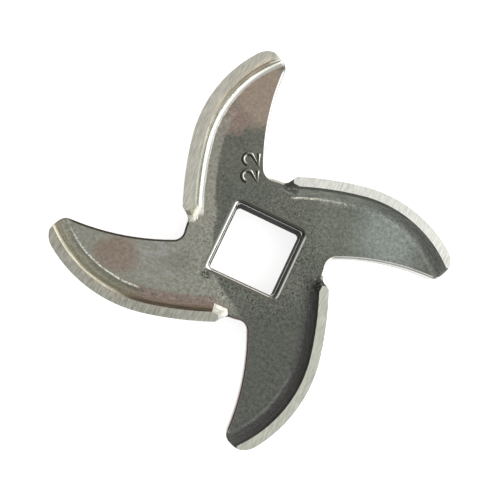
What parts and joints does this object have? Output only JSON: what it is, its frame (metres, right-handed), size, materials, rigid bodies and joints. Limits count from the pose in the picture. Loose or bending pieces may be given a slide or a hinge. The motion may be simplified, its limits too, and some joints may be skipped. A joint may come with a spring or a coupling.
{
  "type": "meat grinder knife",
  "caption": "Curved-arm steel knife with ground cutting lands on raised lips and a square drive hole, turning against the hole plate of a meat grinder.",
  "frame": {"origin": "on the axis of the square drive hole, in the plane of the boss's face on the back, which is the bottom centre of the bounding box", "axes": "+Z out of the cutting lands, towards the hole plate; X and Y parallel to the sides of the square drive hole"},
  "size_m": [0.0732, 0.0732, 0.0122],
  "materials": {
    "steel": "tumbled steel, ground on the cutting lands"
  },
  "bodies": {
    "root": {"knife": "steel"}
  },
  "joints": []
}
